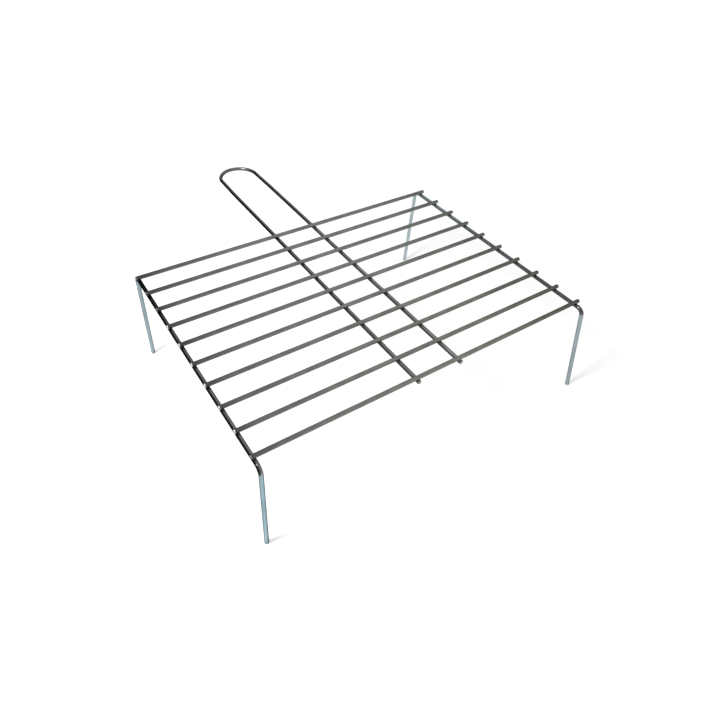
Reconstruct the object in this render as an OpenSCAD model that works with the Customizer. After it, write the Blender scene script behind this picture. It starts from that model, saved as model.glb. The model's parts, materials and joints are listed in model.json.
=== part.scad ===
// Hearth broiler: a wire grate on four splayed legs, with a hairpin handle to draw it off the embers.
// X runs along the bars, Y points back along the handle, Z is up, and the feet stand on Z = 0.

/* [Grate] */
// Number of bars in the grate
bar_count = 10; // [4:1:14]
// Diameter of the bar wire
bar_d = 4.5; // [3:0.1:6]
// Distance from one bar to the next, axis to axis
bar_pitch = 30.75; // [20:0.25:45]
// How far the bars reach past the left rail's axis
bar_reach_left = 3; // [2.5:0.1:15]
// How far the bars reach past the right rail's axis
bar_reach_right = 4.5; // [2.5:0.1:15]
// Chamfer on the cut ends of the bars and the handle
end_chamfer = 0.5; // [0.2:0.05:1]

/* [Leg frames] */
// Distance between the two rails, axis to axis
rail_spacing = 392; // [200:1:600]
// Diameter of the wire that makes a rail and its two legs
frame_d = 4.5; // [3:0.1:6]
// Height of the rails' axis above the floor
rail_height = 115; // [60:1:200]
// Distance from the outer bars to the corners where rail and leg would meet
leg_reach = 10.9; // [9:0.1:30]
// Radius of the bend from rail to leg, on the wire's axis
bend_r = 7.5; // [4:0.1:9]
// How far forward of centre the left frame is welded
left_frame_forward = 1.5; // [-1.5:0.1:1.5]

/* [Leg stance] */
// Outward lean of the front left leg, in degrees
front_left_lean = 1.5; // [-3:0.1:8]
// Outward lean of the back left leg, in degrees
back_left_lean = 2; // [-3:0.1:8]
// Outward lean of the front right leg, in degrees
front_right_lean = 6.6; // [-3:0.1:8]
// Outward lean of the back right leg, in degrees
back_right_lean = -1.2; // [-3:0.1:8]
// Splay of the front left leg along its rail, in degrees
front_left_splay = 0.5; // [-3:0.1:10]
// Splay of the back left leg along its rail, in degrees
back_left_splay = 0.2; // [-3:0.1:10]
// Splay of the front right leg along its rail, in degrees
front_right_splay = 6; // [-3:0.1:10]
// Splay of the back right leg along its rail, in degrees
back_right_splay = 1.2; // [-3:0.1:10]

/* [Handle] */
// Diameter of the handle wire
handle_d = 4.5; // [3:0.1:6]
// Distance between the two handle wires, axis to axis
handle_gap = 52; // [30:0.2:90]
// How far the handle's bend reaches behind the back bar, on the wire's axis
handle_reach = 188.4; // [80:0.2:350]
// How far the handle's front ends reach past the front bar's axis
handle_front_reach = 3.4; // [2.5:0.1:12]

/* [Bends and welds] */
// How much thinner a bend draws the wire, on its diameter
bend_necking = 0.06; // [0.04:0.01:0.2]
// How far a bend runs on into the straight wire at each of its ends
bend_lap = 0.1; // [0.05:0.01:0.2]
// Depth to which a bar sinks into the wire that it is welded to
weld_sink = 0.5; // [0.2:0.05:0.8]
// How far the weld's flash spreads past the seat
weld_spread = 1.1; // [0.6:0.1:2]
// Half the thickness of the weld's flash at its middle
weld_rise = 0.9; // [0.6:0.1:1.4]

/* [Hidden] */
$fn = 48;

FRONT = -1;
BACK = 1;
LEFT = -1;
RIGHT = 1;

function two_digits(i) = str(i < 10 ? "0" : "", i);
function bar_name(i) = str("bar_", two_digits(i));
function weld_name(i) = str("bar_", two_digits(i), "_welds");

bar_names = [for (i = [1:bar_count]) bar_name(i)];
weld_names = [for (i = [1:bar_count]) weld_name(i)];

// Heights of the wires' axes: the bars lie on the rails, and the handle is welded under the bars
bar_z = rail_height + (frame_d + bar_d) / 2 - weld_sink;
handle_z = bar_z - (bar_d + handle_d) / 2 + weld_sink;

// Places in plan, measured from midway between the rails and between the outer bars
grate_half = (bar_count - 1) * bar_pitch / 2;
bar_start = -rail_spacing / 2 - bar_reach_left;
bar_length = rail_spacing + bar_reach_left + bar_reach_right;
handle_bend_r = handle_gap / 2;
handle_bend_y = grate_half + handle_reach - handle_bend_r;
handle_front_y = -grate_half - handle_front_reach;

// The first bar is at the front and the last is beside the handle's grip
function bar_y(i) = (i - 1) * bar_pitch - grate_half;
function rail_x(side) = side * rail_spacing / 2;

// The stance of each frame and leg
function frame_shift(side) = side == LEFT ? -left_frame_forward : 0;
function left_lean(end) = end == FRONT ? front_left_lean : back_left_lean;
function right_lean(end) = end == FRONT ? front_right_lean : back_right_lean;
function lean(side, end) = side == LEFT ? left_lean(end) : right_lean(end);
function left_splay(end) = end == FRONT ? front_left_splay : back_left_splay;
function right_splay(end) = end == FRONT ? front_right_splay : back_right_splay;
function splay(side, end) = side == LEFT ? left_splay(end) : right_splay(end);

// Along a rail from its middle: to the corner where its axis meets the leg's, and to where the bend starts
function corner_run(side, end) = grate_half + leg_reach + end * frame_shift(side);
function bend_angle(side, end) = 90 - splay(side, end);
function bend_tangent(side, end) = bend_r * tan(bend_angle(side, end) / 2);
function rail_run(side, end) = corner_run(side, end) - bend_tangent(side, end);

// The middle of each foot on the floor, and half the size of its level cut face
function upright(side, end) = cos(splay(side, end)) * cos(lean(side, end));
function foot_x(side, end) = rail_x(side) + side * rail_height * tan(lean(side, end));
function splay_run(side, end) = rail_height * tan(splay(side, end)) / cos(lean(side, end));
function foot_y(side, end) = end * (corner_run(side, end) + splay_run(side, end));
function foot_half_x(side, end) = frame_d / 2 * cos(splay(side, end)) / upright(side, end);
function foot_half_y(side, end) =
    frame_d / 2 * sqrt(1 - pow(cos(splay(side, end)) * sin(lean(side, end)), 2)) / upright(side, end);

// How far the feet and the wires reach each way
left_feet = [for (end = [FRONT, BACK]) foot_x(LEFT, end) - foot_half_x(LEFT, end)];
right_feet = [for (end = [FRONT, BACK]) foot_x(RIGHT, end) + foot_half_x(RIGHT, end)];
front_feet = [for (side = [LEFT, RIGHT]) foot_y(side, FRONT) - foot_half_y(side, FRONT)];
back_feet = [for (side = [LEFT, RIGHT]) foot_y(side, BACK) + foot_half_y(side, BACK)];
low_x = min(concat(left_feet, [bar_start]));
high_x = max(concat(right_feet, [bar_start + bar_length]));
low_y = min(concat(front_feet, [handle_front_y]));
high_y = max(concat(back_feet, [grate_half + handle_reach + (handle_d - bend_necking) / 2]));

// Moves the part so that its origin is on the floor, under the middle of its outline
module placed() {
    translate([-(low_x + high_x) / 2, -(low_y + high_y) / 2, 0])
        children();
}

// Turns a wire that stands along Z to lie along X or along Y
module along_x() {
    rotate([0, 90, 0])
        children();
}
module along_y() {
    rotate([-90, 0, 0])
        children();
}

// A straight wire along Z, with a chamfer on each cut end
module cut_wire(length, d, start_chamfer, far_chamfer) {
    r = d / 2;
    rotate_extrude()
        polygon([
            [0, 0],
            [r - start_chamfer, 0],
            [r, start_chamfer],
            [r, length - far_chamfer],
            [r - far_chamfer, length],
            [0, length]]);
}

// A bend about Z from the X axis, necked a little, which runs on into the wires at its ends
module wire_bend(radius, d, angle) {
    lap_angle = bend_lap / radius * 180 / PI;
    rotate([0, 0, -lap_angle])
        rotate_extrude(angle = angle + 2 * lap_angle)
        translate([radius, 0])
        circle(d = d - bend_necking);
}

// The room that the bars take where they sink into the wires under them
module bar_seats() {
    for (i = [1:bar_count])
        translate([bar_start, bar_y(i), bar_z])
            along_x()
            cylinder(h = bar_length, d = bar_d);
}

// Everything under the floor, which trims the feet level
module below_floor() {
    half_x = rail_spacing / 2 + rail_height;
    half_y = grate_half + leg_reach + rail_height;
    translate([-half_x, -half_y, -rail_height])
        cube([2 * half_x, 2 * half_y, rail_height]);
}

// The bend and leg at one end of a rail along Y, leant outward about the rail's axis
module bent_leg(side, end) {
    rotate([0, -side * lean(side, end), 0])
        rotate([0, 0, end == BACK ? 0 : 180])
        translate([0, rail_run(side, end), -bend_r]) {
            rotate([0, -90, 0])
                wire_bend(bend_r, frame_d, bend_angle(side, end));
            rotate([-bend_angle(side, end), 0, 0])
                translate([0, 0, bend_r])
                along_y()
                cylinder(h = rail_height / upright(side, end), d = frame_d);
        }
}

// One wire bent into a rail and two legs
module leg_frame(side) {
    difference() {
        translate([rail_x(side), 0, rail_height])
            union() {
                translate([0, -rail_run(side, FRONT), 0])
                    along_y()
                    cylinder(h = rail_run(side, FRONT) + rail_run(side, BACK), d = frame_d);
                for (end = [FRONT, BACK])
                    bent_leg(side, end);
            }
        bar_seats();
        below_floor();
    }
}

// A lens of metal squeezed out of one resistance weld, round the seat of a bar on the wire under it
module weld_flash(under_d, under_z) {
    seat_half = sqrt(max(under_d, bar_d) * weld_sink - pow(weld_sink, 2));
    flash_r = seat_half + weld_spread;
    lens_r = (pow(flash_r, 2) + pow(weld_rise, 2)) / (2 * weld_rise);
    seat_z = bar_z - bar_d / 2 + weld_sink / 2;
    wire_run = 4 * flash_r;
    difference() {
        translate([0, 0, seat_z])
            intersection_for(way = [-1, 1])
            translate([0, 0, way * (lens_r - weld_rise)])
            sphere(r = lens_r);
        translate([-wire_run / 2, 0, bar_z])
            along_x()
            cylinder(h = wire_run, d = bar_d);
        translate([0, -wire_run / 2, under_z])
            along_y()
            cylinder(h = wire_run, d = under_d);
    }
}

// One bar of the grate
module grate_bar(i) {
    color("gray")
        placed()
        translate([bar_start, bar_y(i), bar_z])
        along_x()
        cut_wire(bar_length, bar_d, end_chamfer, end_chamfer);
}

// The four welds that hold one bar to the rails and to the handle
module bar_welds(i) {
    color("silver")
        placed()
        for (side = [LEFT, RIGHT]) {
            translate([rail_x(side), bar_y(i), 0])
                weld_flash(frame_d, rail_height);
            translate([side * handle_bend_r, bar_y(i), 0])
                weld_flash(handle_d, handle_z);
        }
}

module left_leg_frame() {
    color("lightslategray")
        placed()
        leg_frame(LEFT);
}

module right_leg_frame() {
    color("lightslategray")
        placed()
        leg_frame(RIGHT);
}

// The hairpin: two wires under all the bars, joined by a half-round grip behind the grate
module handle() {
    color("dimgray")
        placed()
        difference() {
            union() {
                for (side = [LEFT, RIGHT])
                    translate([side * handle_bend_r, handle_front_y, handle_z])
                        along_y()
                        cut_wire(handle_bend_y - handle_front_y, handle_d, end_chamfer, 0);
                translate([0, handle_bend_y, handle_z])
                    wire_bend(handle_bend_r, handle_d, 180);
            }
            bar_seats();
        }
}

for (i = [1:bar_count]) {
    grate_bar(i);
    bar_welds(i);
}
left_leg_frame();
right_leg_frame();
handle();
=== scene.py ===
"""Looks of the hearth broiler: plated wire with cut ends and welds, standing on a white studio floor.

The row frame is in metres: X runs along the bars, Y points back along the handle, Z is up.
"""

import json
import math

import bpy
from mathutils import Matrix, Vector, noise


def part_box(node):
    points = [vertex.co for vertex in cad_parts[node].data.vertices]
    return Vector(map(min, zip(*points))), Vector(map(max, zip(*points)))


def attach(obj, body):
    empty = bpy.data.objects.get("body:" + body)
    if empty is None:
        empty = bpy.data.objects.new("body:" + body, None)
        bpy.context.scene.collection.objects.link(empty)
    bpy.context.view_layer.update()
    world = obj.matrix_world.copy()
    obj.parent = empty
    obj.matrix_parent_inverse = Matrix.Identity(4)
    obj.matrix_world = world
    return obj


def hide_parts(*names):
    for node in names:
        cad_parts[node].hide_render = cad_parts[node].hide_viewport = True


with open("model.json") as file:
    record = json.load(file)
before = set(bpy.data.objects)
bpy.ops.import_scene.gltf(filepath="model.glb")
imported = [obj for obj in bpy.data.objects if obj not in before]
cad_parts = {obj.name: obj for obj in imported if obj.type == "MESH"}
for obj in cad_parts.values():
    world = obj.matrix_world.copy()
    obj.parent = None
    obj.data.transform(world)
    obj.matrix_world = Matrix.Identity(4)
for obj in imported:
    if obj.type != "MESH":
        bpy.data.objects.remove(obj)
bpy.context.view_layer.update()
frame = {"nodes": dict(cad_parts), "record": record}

MM = 0.001

# The way along X that leads outward on each side
OUTWARD = {"left": -1, "right": 1}

# Sizes of the wires that the frame's boxes don't give
LEG_PAST_BARS = 10.9 * MM
FRAME_FORWARD = {"left": 1.5 * MM, "right": 0}
BEND_RADIUS = 7.5 * MM
END_ROUND = 1.1 * MM
HANDLE_END_ROUND = 0.5 * MM
FOOT_ROUND = 0.7 * MM

# Below this height the rings of a leg lie level, as its foot is cut
LEVEL_CUT_BELOW = 6.75 * MM

# The left rail was bent by hand: it lies a little inward at its back and bows to the left
RAIL_ASKEW = {"left": 0.45 * MM, "right": 0}
RAIL_BOW = {"left": 0.18 * MM, "right": 0}

# The grip was too: narrower than the runs, short, a little to the right, and flatter on its left shoulder
GRIP_RADIUS = 25.3 * MM
GRIP_ASIDE = 0.2 * MM
GRIP_SHORT = 0.35 * MM
GRIP_EASE = 50 * MM
GRIP_FLAT = 0.75 * MM
GRIP_FLAT_AT = math.radians(140)
GRIP_FLAT_WIDTH = math.radians(25)

# The handle's runs bow to the left, most of all at one bar, and their front ends lie a little to the right,
# less and less up to another bar. The bars count from 0 at the front.
RUN_BOW = {"left": 0.3 * MM, "right": 0.42 * MM}
RUN_BOW_BAR = 7
RUN_BOW_WIDTH = 110 * MM
RUN_ASIDE = 0.3 * MM
RUN_ASIDE_BAR = 2

# The flash of a weld is a lens: the rim's share of its reach, how far that varies and how finely, and the
# latitude of its flat top and bottom
WELD_RIM = 0.86
WELD_UNEVEN = 0.28
WELD_UNEVEN_SCALE = 420
WELD_TILT = math.radians(80)

# How finely the wires and welds are meshed
STEP = 4 * MM
ARC_STEP = math.radians(5)
SAME_POINT = 0.001 * MM
FACETS = 40
EDGE_ANGLES = [math.radians(a) for a in (0, 22, 45, 68, 90)]
WELD_FACETS = 28
WELD_LEVELS = 9

# A level of darkness, for tone, painted shade and painted dark reflections alike: 0 is clean, ALL_BROWN is
# brown all over and 1 is dark all over.
# Of a pair, the first value is for the front bar and the second for the back bar.
ALL_BROWN = 0.5
# The bars darken towards the rails: a tint right at their ends, and a darkening that reaches further in
END_TINT = {"left": (0.58, 0.68), "right": (0.25, 0.03)}
END_TINT_FADE = {"left": 22 * MM, "right": 15 * MM}
BAR_END_DARKENING = {"left": (0.3, 0.53), "right": (0.62, 0.26)}
BAR_END_DARKENING_REACH = 170 * MM
# Painted shade on the lower flanks of the bars
BAR_FLANK_SHADE = (0.5, 0.33)
# Painted dark reflection along each rail, from front to back, and on the outer side of the left rail
RAIL_DARK_REFLECTION = {"left": (0.4, 1.0), "right": (0.53, 0)}
RAIL_REFLECTION_FADE_POWER = {"left": 1.5, "right": 1.3}
# Painted shade on the lower flanks of the rails
RAIL_FLANK_SHADE = 0.42
RAIL_SIDE_DARK_REFLECTION = {"left": 1, "right": 0}
# Painted dark reflection on the handle: along its runs, on their left sides and on the free part behind the
# grate
RUN_DARK_REFLECTION = {"left": 0.2, "right": 0}
# Painted shade on the lower flanks of the handle's runs
RUN_FLANK_SHADE = 0.95
RUN_SIDE_DARK_REFLECTION = {"left": (0.6, 0.85), "right": (0.3, 0.65)}
FREE_DARK_REFLECTION = 0.2
FREE_SIDE_DARK_REFLECTION = {"left": 0.97, "right": 0.88}
FREE_FADE = 40 * MM
# Less painted dark reflection towards the tip of the grip: the share it drops by, and how far from the tip
# it is full
GRIP_TIP_FADE = 0.3
GRIP_TIP_FADE_INSET = 6.75 * MM

# How far a surface faces up (painted shade on the flanks) or sideways (painted dark reflections and
# the painted highlight on the feet) where a film starts and where it is full
BAR_FLANK_SHADE_FACING = (0.8, 0.1)
RAIL_FLANK_SHADE_FACING = (0.95, 0.3)
RUN_FLANK_SHADE_FACING = (0.93, 0.2)
RAIL_DARK_REFLECTION_FACING = (0, 0.48)
RUN_DARK_REFLECTION_FACING = (0.15, 0.7)
FOOT_HIGHLIGHT_FACING = (0.05, 0.5)

# Legs, front and back: how far under the rail they come clean of its painted darkness, and their own films,
# as shares of the brown film, of the dark film, and of the dark film under the painted highlight on the left
# of the foot
CLEAN_BELOW = (5.5 * MM, 2 * MM)
CLEAN_FADE = 1.5 * MM
LEG_FILMS = {"left": ((0, 0.285, 0), (0.3, 0.36, 0.135)), "right": ((0.36, 0, 0), (0, 0, 0))}
# Height up to which the painted highlight on the left of the left legs' feet reaches
FOOT_HIGHLIGHT_HEIGHT = 70 * MM

# The yellow tint at the ends of the front bar and of the back bar
YELLOWING = {"left": (0.25, 0), "right": (1, 0.25)}

# The welds' shares of the brown film, the dark film and the yellow tint
WELD_FILMS = (0.7, 0, 0)

# What the yellow tint, the clouds and the drawing lines leave of a colour
YELLOW = (1, 1, 0.85, 1)
CLOUD_SHADE = (0.8, 0.8, 0.8, 1)
LINE_SHADE = (0.6, 0.6, 0.6, 1)

# Patterns on the metal: the stretch of a place on the wire, the noise's scale, detail and roughness, ranges
# from two noise values to the two that they become, and the bump's strength and height.
# CLOUD_ROUGH gives factors on a metal's own roughness.
LINE_STRETCH = (1, 1, 0.012)
LINE_NOISE = (2600, 2.0, 0.6)
LINE_RANGE = (0.55, 0.8, 0, 0.4)
LINE_BUMP = (0.12, 0.03 * MM)
CLOUD_STRETCH = (1, 1, 0.35)
CLOUD_NOISE = (160, 4.0, 0.55)
CLOUD_RANGE = (0.32, 0.68, 1, 0)
CLOUD_ROUGH_RANGE = (0.3, 0.7)
CLOUD_ROUGH = (0.85, 1.2)
GRAIN_NOISE = (5200, 2.0, 0.6)
GRAIN_BUMP = (0.1, 0.02 * MM)
SHEAR_STRETCH = (1, 0.2, 1)
SHEAR_NOISE = (3000, 3.0, 0.6)
SHEAR_RANGE = (0.35, 0.65, 0, 1)
SHEAR_ROUGH_RANGE = (0.3, 0.7, 0.3, 0.5)
SHEAR_BUMP = (0.2, 0.05 * MM)
SHEAR_RIM = 0.3

# Two wires start this many times as far apart on the patterns as they do in Y, so their marks differ
MARKS_APART = 40

# The bars whose cut ends get a bright rim as a painted highlight; the others keep the dull cut
PAINTED_HIGHLIGHT_ENDS = ("bar_02", "bar_03", "bar_04", "bar_05", "bar_06", "bar_07")

# A Mix node has sockets of the same names for numbers, vectors and colours: these are the colours'
MIX_FIRST = 6
MIX_SECOND = 7
MIX_RESULT = 2

# The camera, as fitted to the photograph, with its lens and sensor in millimetres
EYE = Vector((-298.93, -486.57, 505.41)) * MM
AIM = Vector((-64.22, -173.63, 119)) * MM
ROLL = math.radians(4.15)
LENS = 28.63
SENSOR = 36

# The studio: one soft lamp on the left in a pale grey room, and a white floor, whose glow grows from the
# first strength to the second between two distances from the object
LAMP_PLACE = Vector((-0.755, -0.133, 0.95))
LAMP_WATTS = 9.0
LAMP_RADIUS = 0.14
ROOM_GREY = (0.58, 0.58, 0.58, 1)
FLOOR_SIZE = 200.0
FLOOR_WHITE = (0.8, 0.8, 0.8, 1)
FLOOR_GLOW = (0.35, 0.75)
FLOOR_GLOW_REACH = (0.3, 0.8)


def share(low, high, value):
    """How far a value has come from low, where it gives 0, to high, where it gives 1."""
    return min(1, max(0, (value - low) / (high - low)))


def between(ends, part):
    """The value that lies a part of the way from the first of two ends to the second."""
    return ends[0] + (ends[1] - ends[0]) * part


def smooth(low, high, value):
    """0 up to low, 1 from high on, and an eased step between them."""
    t = share(low, high, value)
    return t * t * (3 - 2 * t)


def bell(distance, width):
    """1 at no distance, and less and less on either side."""
    return math.exp(-((distance / width) ** 2))


# Places that several wires share, from the frame's boxes and the record's mounts

bar_names = sorted(n for n in frame["nodes"] if n.startswith("bar_") and not n.endswith("_welds"))
bar_boxes = [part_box(n) for n in bar_names]
bar_ys = [(low.y + high.y) / 2 for low, high in bar_boxes]
first_low, first_high = bar_boxes[0]
wire_r = (first_high.z - first_low.z) / 2
handle_low, handle_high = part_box("handle")
handle_x = (handle_low.x + handle_high.x) / 2
handle_z = (handle_low.z + handle_high.z) / 2
half_gap = (handle_high.x - handle_low.x) / 2 - wire_r
mounts = frame["record"]["mounts"]
feet = {m["name"]: Vector(m["pos_m"]) for m in mounts if m["name"].startswith("foot_")}

# The left legs lean outward, so their rail reaches furthest to the right and up in the frame's box
left_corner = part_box("left_leg_frame")[1] - Vector((wire_r, wire_r, wire_r))
rail_x = {"left": left_corner.x, "right": 2 * handle_x - left_corner.x}
rail_z = left_corner.z
seat_xs = [rail_x["left"], handle_x - half_gap, handle_x + half_gap, rail_x["right"]]


# Paths of the wires' axes


def straight(start, end):
    """Points from start to end, both included, about a step apart."""
    count = max(2, round((end - start).length / STEP))
    return [start.lerp(end, i / count) for i in range(count + 1)]


def bend(before, corner, after, radius):
    """The round points that turn the way from before to corner into the way from corner to after."""
    into, out = (corner - before).normalized(), (after - corner).normalized()
    turn = into.angle(out)
    start = corner - into * radius * math.tan(turn / 2)
    side = (out - into * out.dot(into)).normalized()
    count = max(3, round(turn / ARC_STEP))
    angles = [turn * i / count for i in range(count + 1)]
    return [start + radius * (into * math.sin(a) + side * (1 - math.cos(a))) for a in angles]


def joined(*runs):
    """One path out of several runs, without the points that they share."""
    path = [runs[0][0]]
    for point in [p for run in runs for p in run]:
        if (point - path[-1]).length > SAME_POINT:
            path.append(point)
    return path


def frame_path(side):
    """From the front foot up a leg, along the rail and down to the back foot."""
    shift = -FRAME_FORWARD[side]
    front = Vector((rail_x[side], bar_ys[0] - LEG_PAST_BARS + shift, rail_z))
    back = Vector((rail_x[side] + RAIL_ASKEW[side], bar_ys[-1] + LEG_PAST_BARS + shift, rail_z))
    front_foot, back_foot = feet[f"foot_front_{side}"], feet[f"foot_back_{side}"]
    front_bend = bend(front_foot, front, back, BEND_RADIUS)
    back_bend = bend(front, back, back_foot, BEND_RADIUS)
    rail = straight(front_bend[-1], back_bend[0])
    for i, point in enumerate(rail):
        point.x -= RAIL_BOW[side] * math.sin(math.pi * i / (len(rail) - 1))
    front_leg = straight(front_foot, front_bend[0])
    back_leg = straight(back_bend[-1], back_foot)
    return joined(front_leg, front_bend, rail, back_bend, back_leg)


def handle_path():
    """From the right run's front end round the grip to the left run's front end."""
    grip_x = handle_x + GRIP_ASIDE
    grip_y = handle_high.y - wire_r - GRIP_SHORT - GRIP_RADIUS

    def run(side):
        points = straight(Vector((0, handle_low.y, handle_z)), Vector((0, grip_y, handle_z)))
        ends = handle_x + OUTWARD[side] * half_gap, grip_x + OUTWARD[side] * GRIP_RADIUS
        for point in points:
            bow = RUN_BOW[side] * bell(point.y - bar_ys[RUN_BOW_BAR], RUN_BOW_WIDTH)
            aside = RUN_ASIDE * (1 - smooth(bar_ys[0], bar_ys[RUN_ASIDE_BAR], point.y))
            point.x = between(ends, smooth(grip_y - GRIP_EASE, grip_y, point.y)) - bow + aside
        return points

    def grip(angle):
        reach = GRIP_RADIUS - GRIP_FLAT * bell(angle - GRIP_FLAT_AT, GRIP_FLAT_WIDTH)
        return Vector((grip_x + reach * math.cos(angle), grip_y + reach * math.sin(angle), handle_z))

    steps = round(math.pi / ARC_STEP)
    turn = [grip(math.pi * i / steps) for i in range(steps + 1)]
    return joined(run("right"), turn, run("left")[::-1])


# Meshes


def wire_rings(path, rounding):
    """Centre and reach of each ring along a path: at both ends a few rings round the cut edge off."""

    def rounded(tip, inner):
        way = (tip - inner).normalized()
        return [
            (tip - way * rounding * (1 - math.sin(a)), wire_r - rounding * (1 - math.cos(a)))
            for a in EDGE_ANGLES
        ]

    start, end = rounded(path[0], path[1]), rounded(path[-1], path[-2])
    return start[::-1] + [(p, wire_r) for p in path[1:-1]] + end


def tube_faces(first, rings, facets):
    """A band of quads between each two rings of vertices, and the two faces that close the ends."""
    bands = []
    for start in range(first, first + (rings - 1) * facets, facets):
        pairs = [(start + k, start + (k + 1) % facets) for k in range(facets)]
        bands.append([(a, b, b + facets, a + facets) for a, b in pairs])
    last = first + (rings - 1) * facets
    ends = [tuple(reversed(range(first, first + facets))), tuple(range(last, last + facets))]
    return bands, ends


def wire_mesh(name, path, rounding, tone_and_painted_light, on_floor=False):
    """A round wire along a path with rounded cut ends, which on the floor are cut level.

    Its faces are in three groups: the wire's sides, the rims that round the ends off, and the cuts.
    Vertices carry wire_place, across the wire in x and y and along it in z, and the films that a function
    gives for the way a vertex faces and the middle of the wire there: tone, painted shade, painted dark
    reflections and a painted highlight.
    """
    rings = wire_rings(path, rounding)
    centres, reaches = zip(*rings)
    before = (centres[0],) + centres[:-1]
    after = centres[1:] + (centres[-1],)
    across = (after[0] - before[0]).orthogonal().normalized()
    along = MARKS_APART * path[0].y
    verts, places, films = [], [], []
    for i, (centre, reach) in enumerate(rings):
        tangent = (after[i] - before[i]).normalized()
        across = (across - tangent * across.dot(tangent)).normalized()
        over = tangent.cross(across)
        along += (centre - before[i]).length
        for k in range(FACETS):
            angle = 2 * math.pi * k / FACETS
            spoke = across * math.cos(angle) + over * math.sin(angle)
            point = centre + spoke * reach
            if on_floor and centre.z < LEVEL_CUT_BELOW:
                point -= tangent * (point.z - centre.z) / tangent.z
            verts.append(point)
            places += [wire_r * math.cos(angle), wire_r * math.sin(angle), along]
            films += tone_and_painted_light(spoke, centre)
    bands, cuts = tube_faces(0, len(rings), FACETS)
    sides, rims = [], []
    for band, reach, next_reach in zip(bands, reaches, reaches[1:]):
        group = rims if min(reach, next_reach) < wire_r else sides
        group.extend(band)
    return marked_mesh(name, verts, (sides, rims, cuts), places, films)


def weld_mesh(name, centres, reach, rise):
    """Lenses of metal squeezed out round each seat, with an uneven rim.

    Their wire_place is the place itself, since they follow no wire.
    """
    verts, sides, caps = [], [], []
    for centre in centres:
        bands, ends = tube_faces(len(verts), WELD_LEVELS, WELD_FACETS)
        sides += [quad for band in bands for quad in band]
        caps += ends
        for level in range(WELD_LEVELS):
            tilt = WELD_TILT * (2 * level / (WELD_LEVELS - 1) - 1)
            up = Vector((0, 0, rise * math.sin(tilt)))
            for k in range(WELD_FACETS):
                angle = 2 * math.pi * k / WELD_FACETS
                way = Vector((math.cos(angle), math.sin(angle), 0))
                spot = (centre + way * reach) * WELD_UNEVEN_SCALE + Vector((0, 0, tilt))
                rim = min(1, WELD_RIM + WELD_UNEVEN * noise.noise(spot))
                verts.append(centre + way * reach * rim * math.cos(tilt) + up)
    places = [value for point in verts for value in point]
    return marked_mesh(name, verts, (sides + caps,), places, WELD_FILMS * len(verts))


def marked_mesh(name, verts, groups, places, films):
    """A mesh whose groups of faces take one material each, with the marks that those materials read.

    Its quads are round, and its faces with more corners are flat.
    """
    mesh = bpy.data.meshes.new(name)
    mesh.from_pydata(verts, [], [face for group in groups for face in group])
    mesh.attributes.new("wire_place", "FLOAT_VECTOR", "POINT").data.foreach_set("vector", places)
    mesh.attributes.new("tone_and_painted_light", "FLOAT_VECTOR", "POINT").data.foreach_set("vector", films)
    group_of_face = [i for i, group in enumerate(groups) for _ in group]
    for polygon, group in zip(mesh.polygons, group_of_face):
        polygon.use_smooth = len(polygon.vertices) == 4
        polygon.material_index = group
    return mesh


def piece(mesh, node, slot, *materials):
    """An object that stands for a CAD node and takes its place on the body."""
    obj = bpy.data.objects.new(mesh.name, mesh)
    bpy.context.scene.collection.objects.link(obj)
    for material in materials:
        mesh.materials.append(material)
    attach(obj, "root")
    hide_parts(node)


# Films of each wire, of tone and of painted light, for the way that its surface faces and the middle
# of the wire there


def depth_of(centre):
    """How far back in the grate a point is: 0 up to the first bar and 1 from the last bar on."""
    return share(bar_ys[0], bar_ys[-1], centre.y)


def flank_shade(spoke, facing):
    """Painted shade: 0 on top of a wire, 1 on its flanks and below, and an eased step between two ways of
    facing up.
    """
    start, full = facing
    return smooth(-start, -full, -spoke.z)


def darkened_more(level, more):
    """A level of darkness after painted shade and painted dark reflection darken a share of what it leaves
    clean.
    """
    return level + (1 - level) * more


def films_of(level):
    """The shares of the brown film and of the dark film over it."""
    return [smooth(0, ALL_BROWN, level), smooth(ALL_BROWN, 1, level)]


def bar_tone_and_shade(spoke, centre):
    """Bars darken towards both rails, most near their ends; painted shade on lower flanks; yellow at front
    right.
    """
    depth = depth_of(centre)
    to_end = {"left": centre.x - first_low.x, "right": first_high.x - centre.x}
    top = sum(
        between(END_TINT[side], depth) * math.exp(-run / END_TINT_FADE[side])
        + between(BAR_END_DARKENING[side], depth) * (1 - smooth(0, BAR_END_DARKENING_REACH, run))
        for side, run in to_end.items()
    )
    level = darkened_more(top, between(BAR_FLANK_SHADE, depth) * flank_shade(spoke, BAR_FLANK_SHADE_FACING))
    yellow_ends = [between(YELLOWING[side], depth) for side in to_end]
    yellow = between(yellow_ends, share(first_low.x, first_high.x, centre.x))
    return films_of(level) + [yellow]


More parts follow.
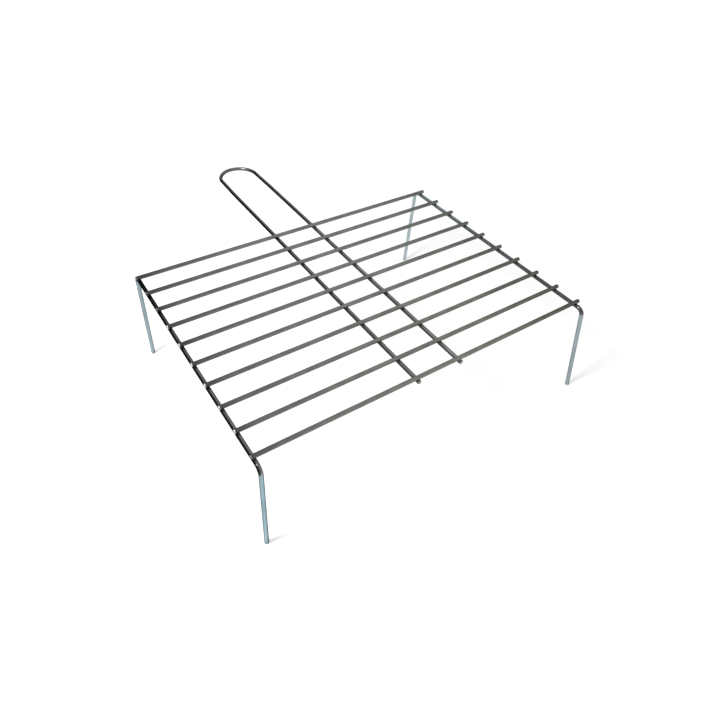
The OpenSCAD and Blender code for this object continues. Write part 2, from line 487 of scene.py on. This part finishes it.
def rail_tone_and_light(side):
    """A rail and its legs: the rail's painted dark reflection and painted shade end within the bends, where
    the legs' thin films start.

    The left rail's painted dark reflection is darkest on its outer side, and the left legs get a painted
    highlight on the left of their feet.
    """

    def tone_and_painted_light(spoke, centre):
        depth = depth_of(centre)
        end = round(depth)
        # Painted dark reflection along the rail and on its side, with painted shade on its flanks
        top = between(RAIL_DARK_REFLECTION[side], depth ** RAIL_REFLECTION_FADE_POWER[side])
        side_dark_reflection = RAIL_SIDE_DARK_REFLECTION[side] * smooth(*RAIL_DARK_REFLECTION_FACING, OUTWARD[side] * spoke.x)
        painted_flank_shade = RAIL_FLANK_SHADE * flank_shade(spoke, RAIL_FLANK_SHADE_FACING)
        brown, dark = films_of(darkened_more(top, max(side_dark_reflection, painted_flank_shade)))
        leg_brown, leg_dark, highlight_dark = LEG_FILMS[side][end]
        # Painted highlight: on the left of the left legs' feet the dark film thins
        foot_highlight = (1 - smooth(0, FOOT_HIGHLIGHT_HEIGHT, centre.z)) * smooth(*FOOT_HIGHLIGHT_FACING, -spoke.x)
        leg_dark = between((leg_dark, highlight_dark), foot_highlight)
        clean_z = rail_z - CLEAN_BELOW[end]
        on_rail = smooth(clean_z - CLEAN_FADE, clean_z + CLEAN_FADE, centre.z)
        return [between((leg_brown, brown), on_rail), between((leg_dark, dark), on_rail), 0]

    return tone_and_painted_light


def handle_tone_and_shade(spoke, centre):
    """Painted dark reflection, most on the runs' left and behind the grate, least at the grip's tip; flank
    shade.
    """
    side = "left" if centre.x < handle_x else "right"
    free = smooth(bar_ys[-1], bar_ys[-1] + FREE_FADE, centre.y)
    under_grate = between(RUN_SIDE_DARK_REFLECTION[side], depth_of(centre))
    side_dark_reflection = between((under_grate, FREE_SIDE_DARK_REFLECTION[side]), free) * smooth(*RUN_DARK_REFLECTION_FACING, -spoke.x)
    painted_flank_shade = RUN_FLANK_SHADE * flank_shade(spoke, RUN_FLANK_SHADE_FACING)
    level = darkened_more(RUN_DARK_REFLECTION[side] + FREE_DARK_REFLECTION * free, max(side_dark_reflection, painted_flank_shade))
    tip_fade = GRIP_TIP_FADE * smooth(handle_high.y - half_gap, handle_high.y - GRIP_TIP_FADE_INSET, centre.y)
    return films_of((1 - tip_fade) * level) + [0]


# Materials


class Nodes:
    """A short way to add nodes to a tree and to link them."""

    def __init__(self, tree):
        self.tree = tree
        tree.nodes.clear()

    def add(self, kind, **settings):
        node = self.tree.nodes.new(kind)
        for name, value in settings.items():
            setattr(node, name, value)
        return node

    def link(self, source, target):
        self.tree.links.new(source, target)

    def attribute(self, name):
        return self.add("ShaderNodeAttribute", attribute_name=name).outputs["Vector"]

    def stretched(self, vector, scale):
        node = self.add("ShaderNodeMapping")
        node.inputs["Scale"].default_value = scale
        self.link(vector, node.inputs["Vector"])
        return node.outputs["Vector"]

    def noise(self, place, scale, detail, roughness):
        node = self.add("ShaderNodeTexNoise")
        node.inputs["Scale"].default_value = scale
        node.inputs["Detail"].default_value = detail
        node.inputs["Roughness"].default_value = roughness
        self.link(place, node.inputs["Vector"])
        return node.outputs["Fac"]

    def ranged(self, value, low, high, out_low, out_high):
        node = self.add("ShaderNodeMapRange", interpolation_type="SMOOTHSTEP")
        node.inputs["From Min"].default_value = low
        node.inputs["From Max"].default_value = high
        node.inputs["To Min"].default_value = out_low
        node.inputs["To Max"].default_value = out_high
        self.link(value, node.inputs["Value"])
        return node.outputs["Result"]

    def calculated(self, operation, first, second):
        node = self.add("ShaderNodeMath", operation=operation)
        self.link(first, node.inputs[0])
        self.link(second, node.inputs[1])
        return node.outputs["Value"]

    def mixed(self, amount, first, second, blend="MIX"):
        node = self.add("ShaderNodeMix", data_type="RGBA", blend_type=blend)
        self.link(amount, node.inputs["Factor"])
        for socket, colour in ((MIX_FIRST, first), (MIX_SECOND, second)):
            if isinstance(colour, tuple):
                node.inputs[socket].default_value = colour
            else:
                self.link(colour, node.inputs[socket])
        return node.outputs[MIX_RESULT]

    def bumped(self, height, strength, distance, normal=None):
        node = self.add("ShaderNodeBump")
        node.inputs["Strength"].default_value = strength
        node.inputs["Distance"].default_value = distance
        self.link(height, node.inputs["Height"])
        if normal:
            self.link(normal, node.inputs["Normal"])
        return node.outputs["Normal"]

    def metal(self, colour, roughness, normal, rim):
        shader = self.add("ShaderNodeBsdfPrincipled")
        shader.inputs["Metallic"].default_value = 1.0
        shader.inputs["Specular Tint"].default_value = (rim, rim, rim, 1)
        self.link(colour, shader.inputs["Base Color"])
        self.link(roughness, shader.inputs["Roughness"])
        self.link(normal, shader.inputs["Normal"])
        self.link(shader.outputs["BSDF"], self.add("ShaderNodeOutputMaterial").inputs["Surface"])


def node_material(name):
    """A new material and its empty node tree."""
    material = bpy.data.materials.new(name)
    material.use_nodes = True
    return material, Nodes(material.node_tree)


def plated_wire(name, clean, brown, dark, rough, rim):
    """Plated steel wire with films of tone and painted light from its mesh, under clouds and drawing lines.

    The rim is how much of the reflection a dull skin leaves where the wire turns away.
    """
    material, n = node_material(name)
    place = n.attribute("wire_place")
    films = n.add("ShaderNodeSeparateXYZ")
    n.link(n.attribute("tone_and_painted_light"), films.inputs["Vector"])
    lines = n.noise(n.stretched(place, LINE_STRETCH), *LINE_NOISE)
    clouds = n.noise(n.stretched(place, CLOUD_STRETCH), *CLOUD_NOISE)
    grain = n.noise(place, *GRAIN_NOISE)
    colour = n.mixed(films.outputs["X"], clean, brown)
    colour = n.mixed(films.outputs["Y"], colour, dark)
    colour = n.mixed(films.outputs["Z"], colour, YELLOW, "MULTIPLY")
    colour = n.mixed(n.ranged(clouds, *CLOUD_RANGE), colour, CLOUD_SHADE, "MULTIPLY")
    colour = n.mixed(n.ranged(lines, *LINE_RANGE), colour, LINE_SHADE, "MULTIPLY")
    roughness = n.ranged(clouds, *CLOUD_ROUGH_RANGE, *(rough * factor for factor in CLOUD_ROUGH))
    normal = n.bumped(grain, *GRAIN_BUMP, n.bumped(lines, *LINE_BUMP))
    n.metal(colour, roughness, normal, rim)
    return material


def sheared_end(name, bright, dull):
    """The cut face of a wire, with a coarse shear grain."""
    material, n = node_material(name)
    marks = n.noise(n.stretched(n.attribute("wire_place"), SHEAR_STRETCH), *SHEAR_NOISE)
    colour = n.mixed(n.ranged(marks, *SHEAR_RANGE), dull, bright)
    roughness = n.ranged(marks, *SHEAR_ROUGH_RANGE)
    n.metal(colour, roughness, n.bumped(marks, *SHEAR_BUMP), SHEAR_RIM)
    return material


bar_metal = plated_wire(
    "bar_wire",
    clean=(0.33, 0.344, 0.34, 1),
    brown=(0.228, 0.233, 0.23, 1),
    dark=(0.12, 0.122, 0.118, 1),
    rough=0.34,
    rim=0.1,
)
frame_metal = {
    "left": plated_wire(
        "left_frame_wire",
        clean=(0.448, 0.603, 0.666, 1),
        brown=(0.283, 0.269, 0.267, 1),
        dark=(0.018, 0.0255, 0.0255, 1),
        rough=0.2,
        rim=0.1,
    ),
    "right": plated_wire(
        "right_frame_wire",
        clean=(0.45, 0.547, 0.568, 1),
        brown=(0.146, 0.157, 0.166, 1),
        dark=(0.03, 0.031, 0.033, 1),
        rough=0.2,
        rim=0.1,
    ),
}
handle_metal = plated_wire(
    "handle_wire",
    clean=(0.361, 0.382, 0.384, 1),
    brown=(0.209, 0.217, 0.217, 1),
    dark=(0.015, 0.015, 0.015, 1),
    rough=0.26,
    rim=0.15,
)
weld_metal = plated_wire(
    "weld",
    clean=(0.219, 0.224, 0.221, 1),
    brown=(0.15, 0.15, 0.147, 1),
    dark=(0.074, 0.074, 0.071, 1),
    rough=0.4,
    rim=0.3,
)
# A bright cut rim, painted as a highlight on the ends of some bars
painted_highlight_rim = sheared_end("painted_highlight_rim", bright=(0.58, 0.6, 0.6, 1), dull=(0.46, 0.48, 0.48, 1))
dull_cut = sheared_end("dull_cut_end", bright=(0.19, 0.197, 0.193, 1), dull=(0.125, 0.128, 0.125, 1))
handle_cut = sheared_end("handle_cut", bright=(0.36, 0.38, 0.37, 1), dull=(0.25, 0.26, 0.255, 1))
foot_cut = sheared_end("foot_cut", bright=(0.36, 0.42, 0.45, 1), dull=(0.27, 0.33, 0.36, 1))


# The object


def bar(name, box):
    """A straight bar, cut square."""
    low, high = box
    middle = (low + high) / 2
    path = straight(Vector((low.x, middle.y, middle.z)), Vector((high.x, middle.y, middle.z)))
    mesh = wire_mesh(name + "_wire", path, END_ROUND, bar_tone_and_shade)
    rim = painted_highlight_rim if name in PAINTED_HIGHLIGHT_ENDS else dull_cut
    piece(mesh, name, "bar_wire", bar_metal, rim, dull_cut)


def bar_welds(name, y):
    """The flash of the four welds under a bar."""
    low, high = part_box(name + "_welds")
    half = (high - low) / 2
    centres = [Vector((x, y, low.z + half.z)) for x in seat_xs]
    mesh = weld_mesh(name + "_flash", centres, half.y, half.z)
    piece(mesh, name + "_welds", "weld", weld_metal)


def leg_frame(side):
    """A rail with its two legs, which stand on the floor."""
    node = side + "_leg_frame"
    mesh = wire_mesh(node + "_wire", frame_path(side), FOOT_ROUND, rail_tone_and_light(side), on_floor=True)
    piece(mesh, node, "frame_wire", frame_metal[side], foot_cut, foot_cut)


def handle():
    """The hairpin handle."""
    mesh = wire_mesh("handle_wire", handle_path(), HANDLE_END_ROUND, handle_tone_and_shade)
    piece(mesh, "handle", "handle_wire", handle_metal, dull_cut, handle_cut)


for bar_name, bar_box, bar_y in zip(bar_names, bar_boxes, bar_ys):
    bar(bar_name, bar_box)
    bar_welds(bar_name, bar_y)
for frame_side in ("left", "right"):
    leg_frame(frame_side)
handle()


# The studio


def lamp():
    """A round soft lamp that faces the object."""
    data = bpy.data.lights.new("lamp", "AREA")
    data.shape = "DISK"
    data.size = 2 * LAMP_RADIUS
    data.energy = LAMP_WATTS
    obj = bpy.data.objects.new("lamp", data)
    look = LAMP_PLACE.to_track_quat("Z", "Y").to_matrix().to_4x4()
    obj.matrix_world = Matrix.Translation(LAMP_PLACE) @ look
    obj.visible_camera = False
    bpy.context.scene.collection.objects.link(obj)


def room():
    """An even pale grey room, which the wires mirror."""
    world = bpy.data.worlds.new("studio")
    world.use_nodes = True
    bpy.context.scene.world = world
    n = Nodes(world.node_tree)
    background = n.add("ShaderNodeBackground")
    background.inputs["Color"].default_value = ROOM_GREY
    n.link(background.outputs["Background"], n.add("ShaderNodeOutputWorld").inputs["Surface"])


def floor_glow(n):
    """A glow for rays from the camera, from gloss and through glass, which grows away from the object."""
    ray = n.add("ShaderNodeLightPath")
    seen = ray.outputs["Is Camera Ray"]
    for kind in ("Is Glossy Ray", "Is Transmission Ray"):
        seen = n.calculated("MAXIMUM", seen, ray.outputs[kind])
    away = n.add("ShaderNodeVectorMath", operation="LENGTH")
    n.link(n.add("ShaderNodeNewGeometry").outputs["Position"], away.inputs[0])
    graded = n.ranged(away.outputs["Value"], *FLOOR_GLOW_REACH, *FLOOR_GLOW)
    glow = n.add("ShaderNodeEmission")
    n.link(n.calculated("MULTIPLY", seen, graded), glow.inputs["Strength"])
    return glow.outputs["Emission"]


def floor_paint():
    """White paint that takes the object's shadow, with a glow that fills in where the lamp's light fades."""
    material, n = node_material("floor")
    paint = n.add("ShaderNodeBsdfDiffuse")
    paint.inputs["Color"].default_value = FLOOR_WHITE
    both = n.add("ShaderNodeAddShader")
    n.link(paint.outputs["BSDF"], both.inputs[0])
    n.link(floor_glow(n), both.inputs[1])
    n.link(both.outputs["Shader"], n.add("ShaderNodeOutputMaterial").inputs["Surface"])
    return material


def floor():
    """A wide level floor under the feet."""
    half = FLOOR_SIZE / 2
    corners = [(-half, -half, 0), (half, -half, 0), (half, half, 0), (-half, half, 0)]
    mesh = bpy.data.meshes.new("floor")
    mesh.from_pydata(corners, [], [(0, 1, 2, 3)])
    mesh.materials.append(floor_paint())
    obj = bpy.data.objects.new("floor", mesh)
    bpy.context.scene.collection.objects.link(obj)


def camera():
    """The photograph's camera."""
    data = bpy.data.cameras.new("camera")
    data.lens = LENS
    data.sensor_width = SENSOR
    obj = bpy.data.objects.new("camera", data)
    look = (AIM - EYE).to_track_quat("-Z", "Y").to_matrix().to_4x4()
    obj.matrix_world = Matrix.Translation(EYE) @ look @ Matrix.Rotation(ROLL, 4, "Z")
    bpy.context.scene.collection.objects.link(obj)
    bpy.context.scene.camera = obj


lamp()
room()
floor()
camera()
bpy.context.scene.view_settings.view_transform = "Standard"
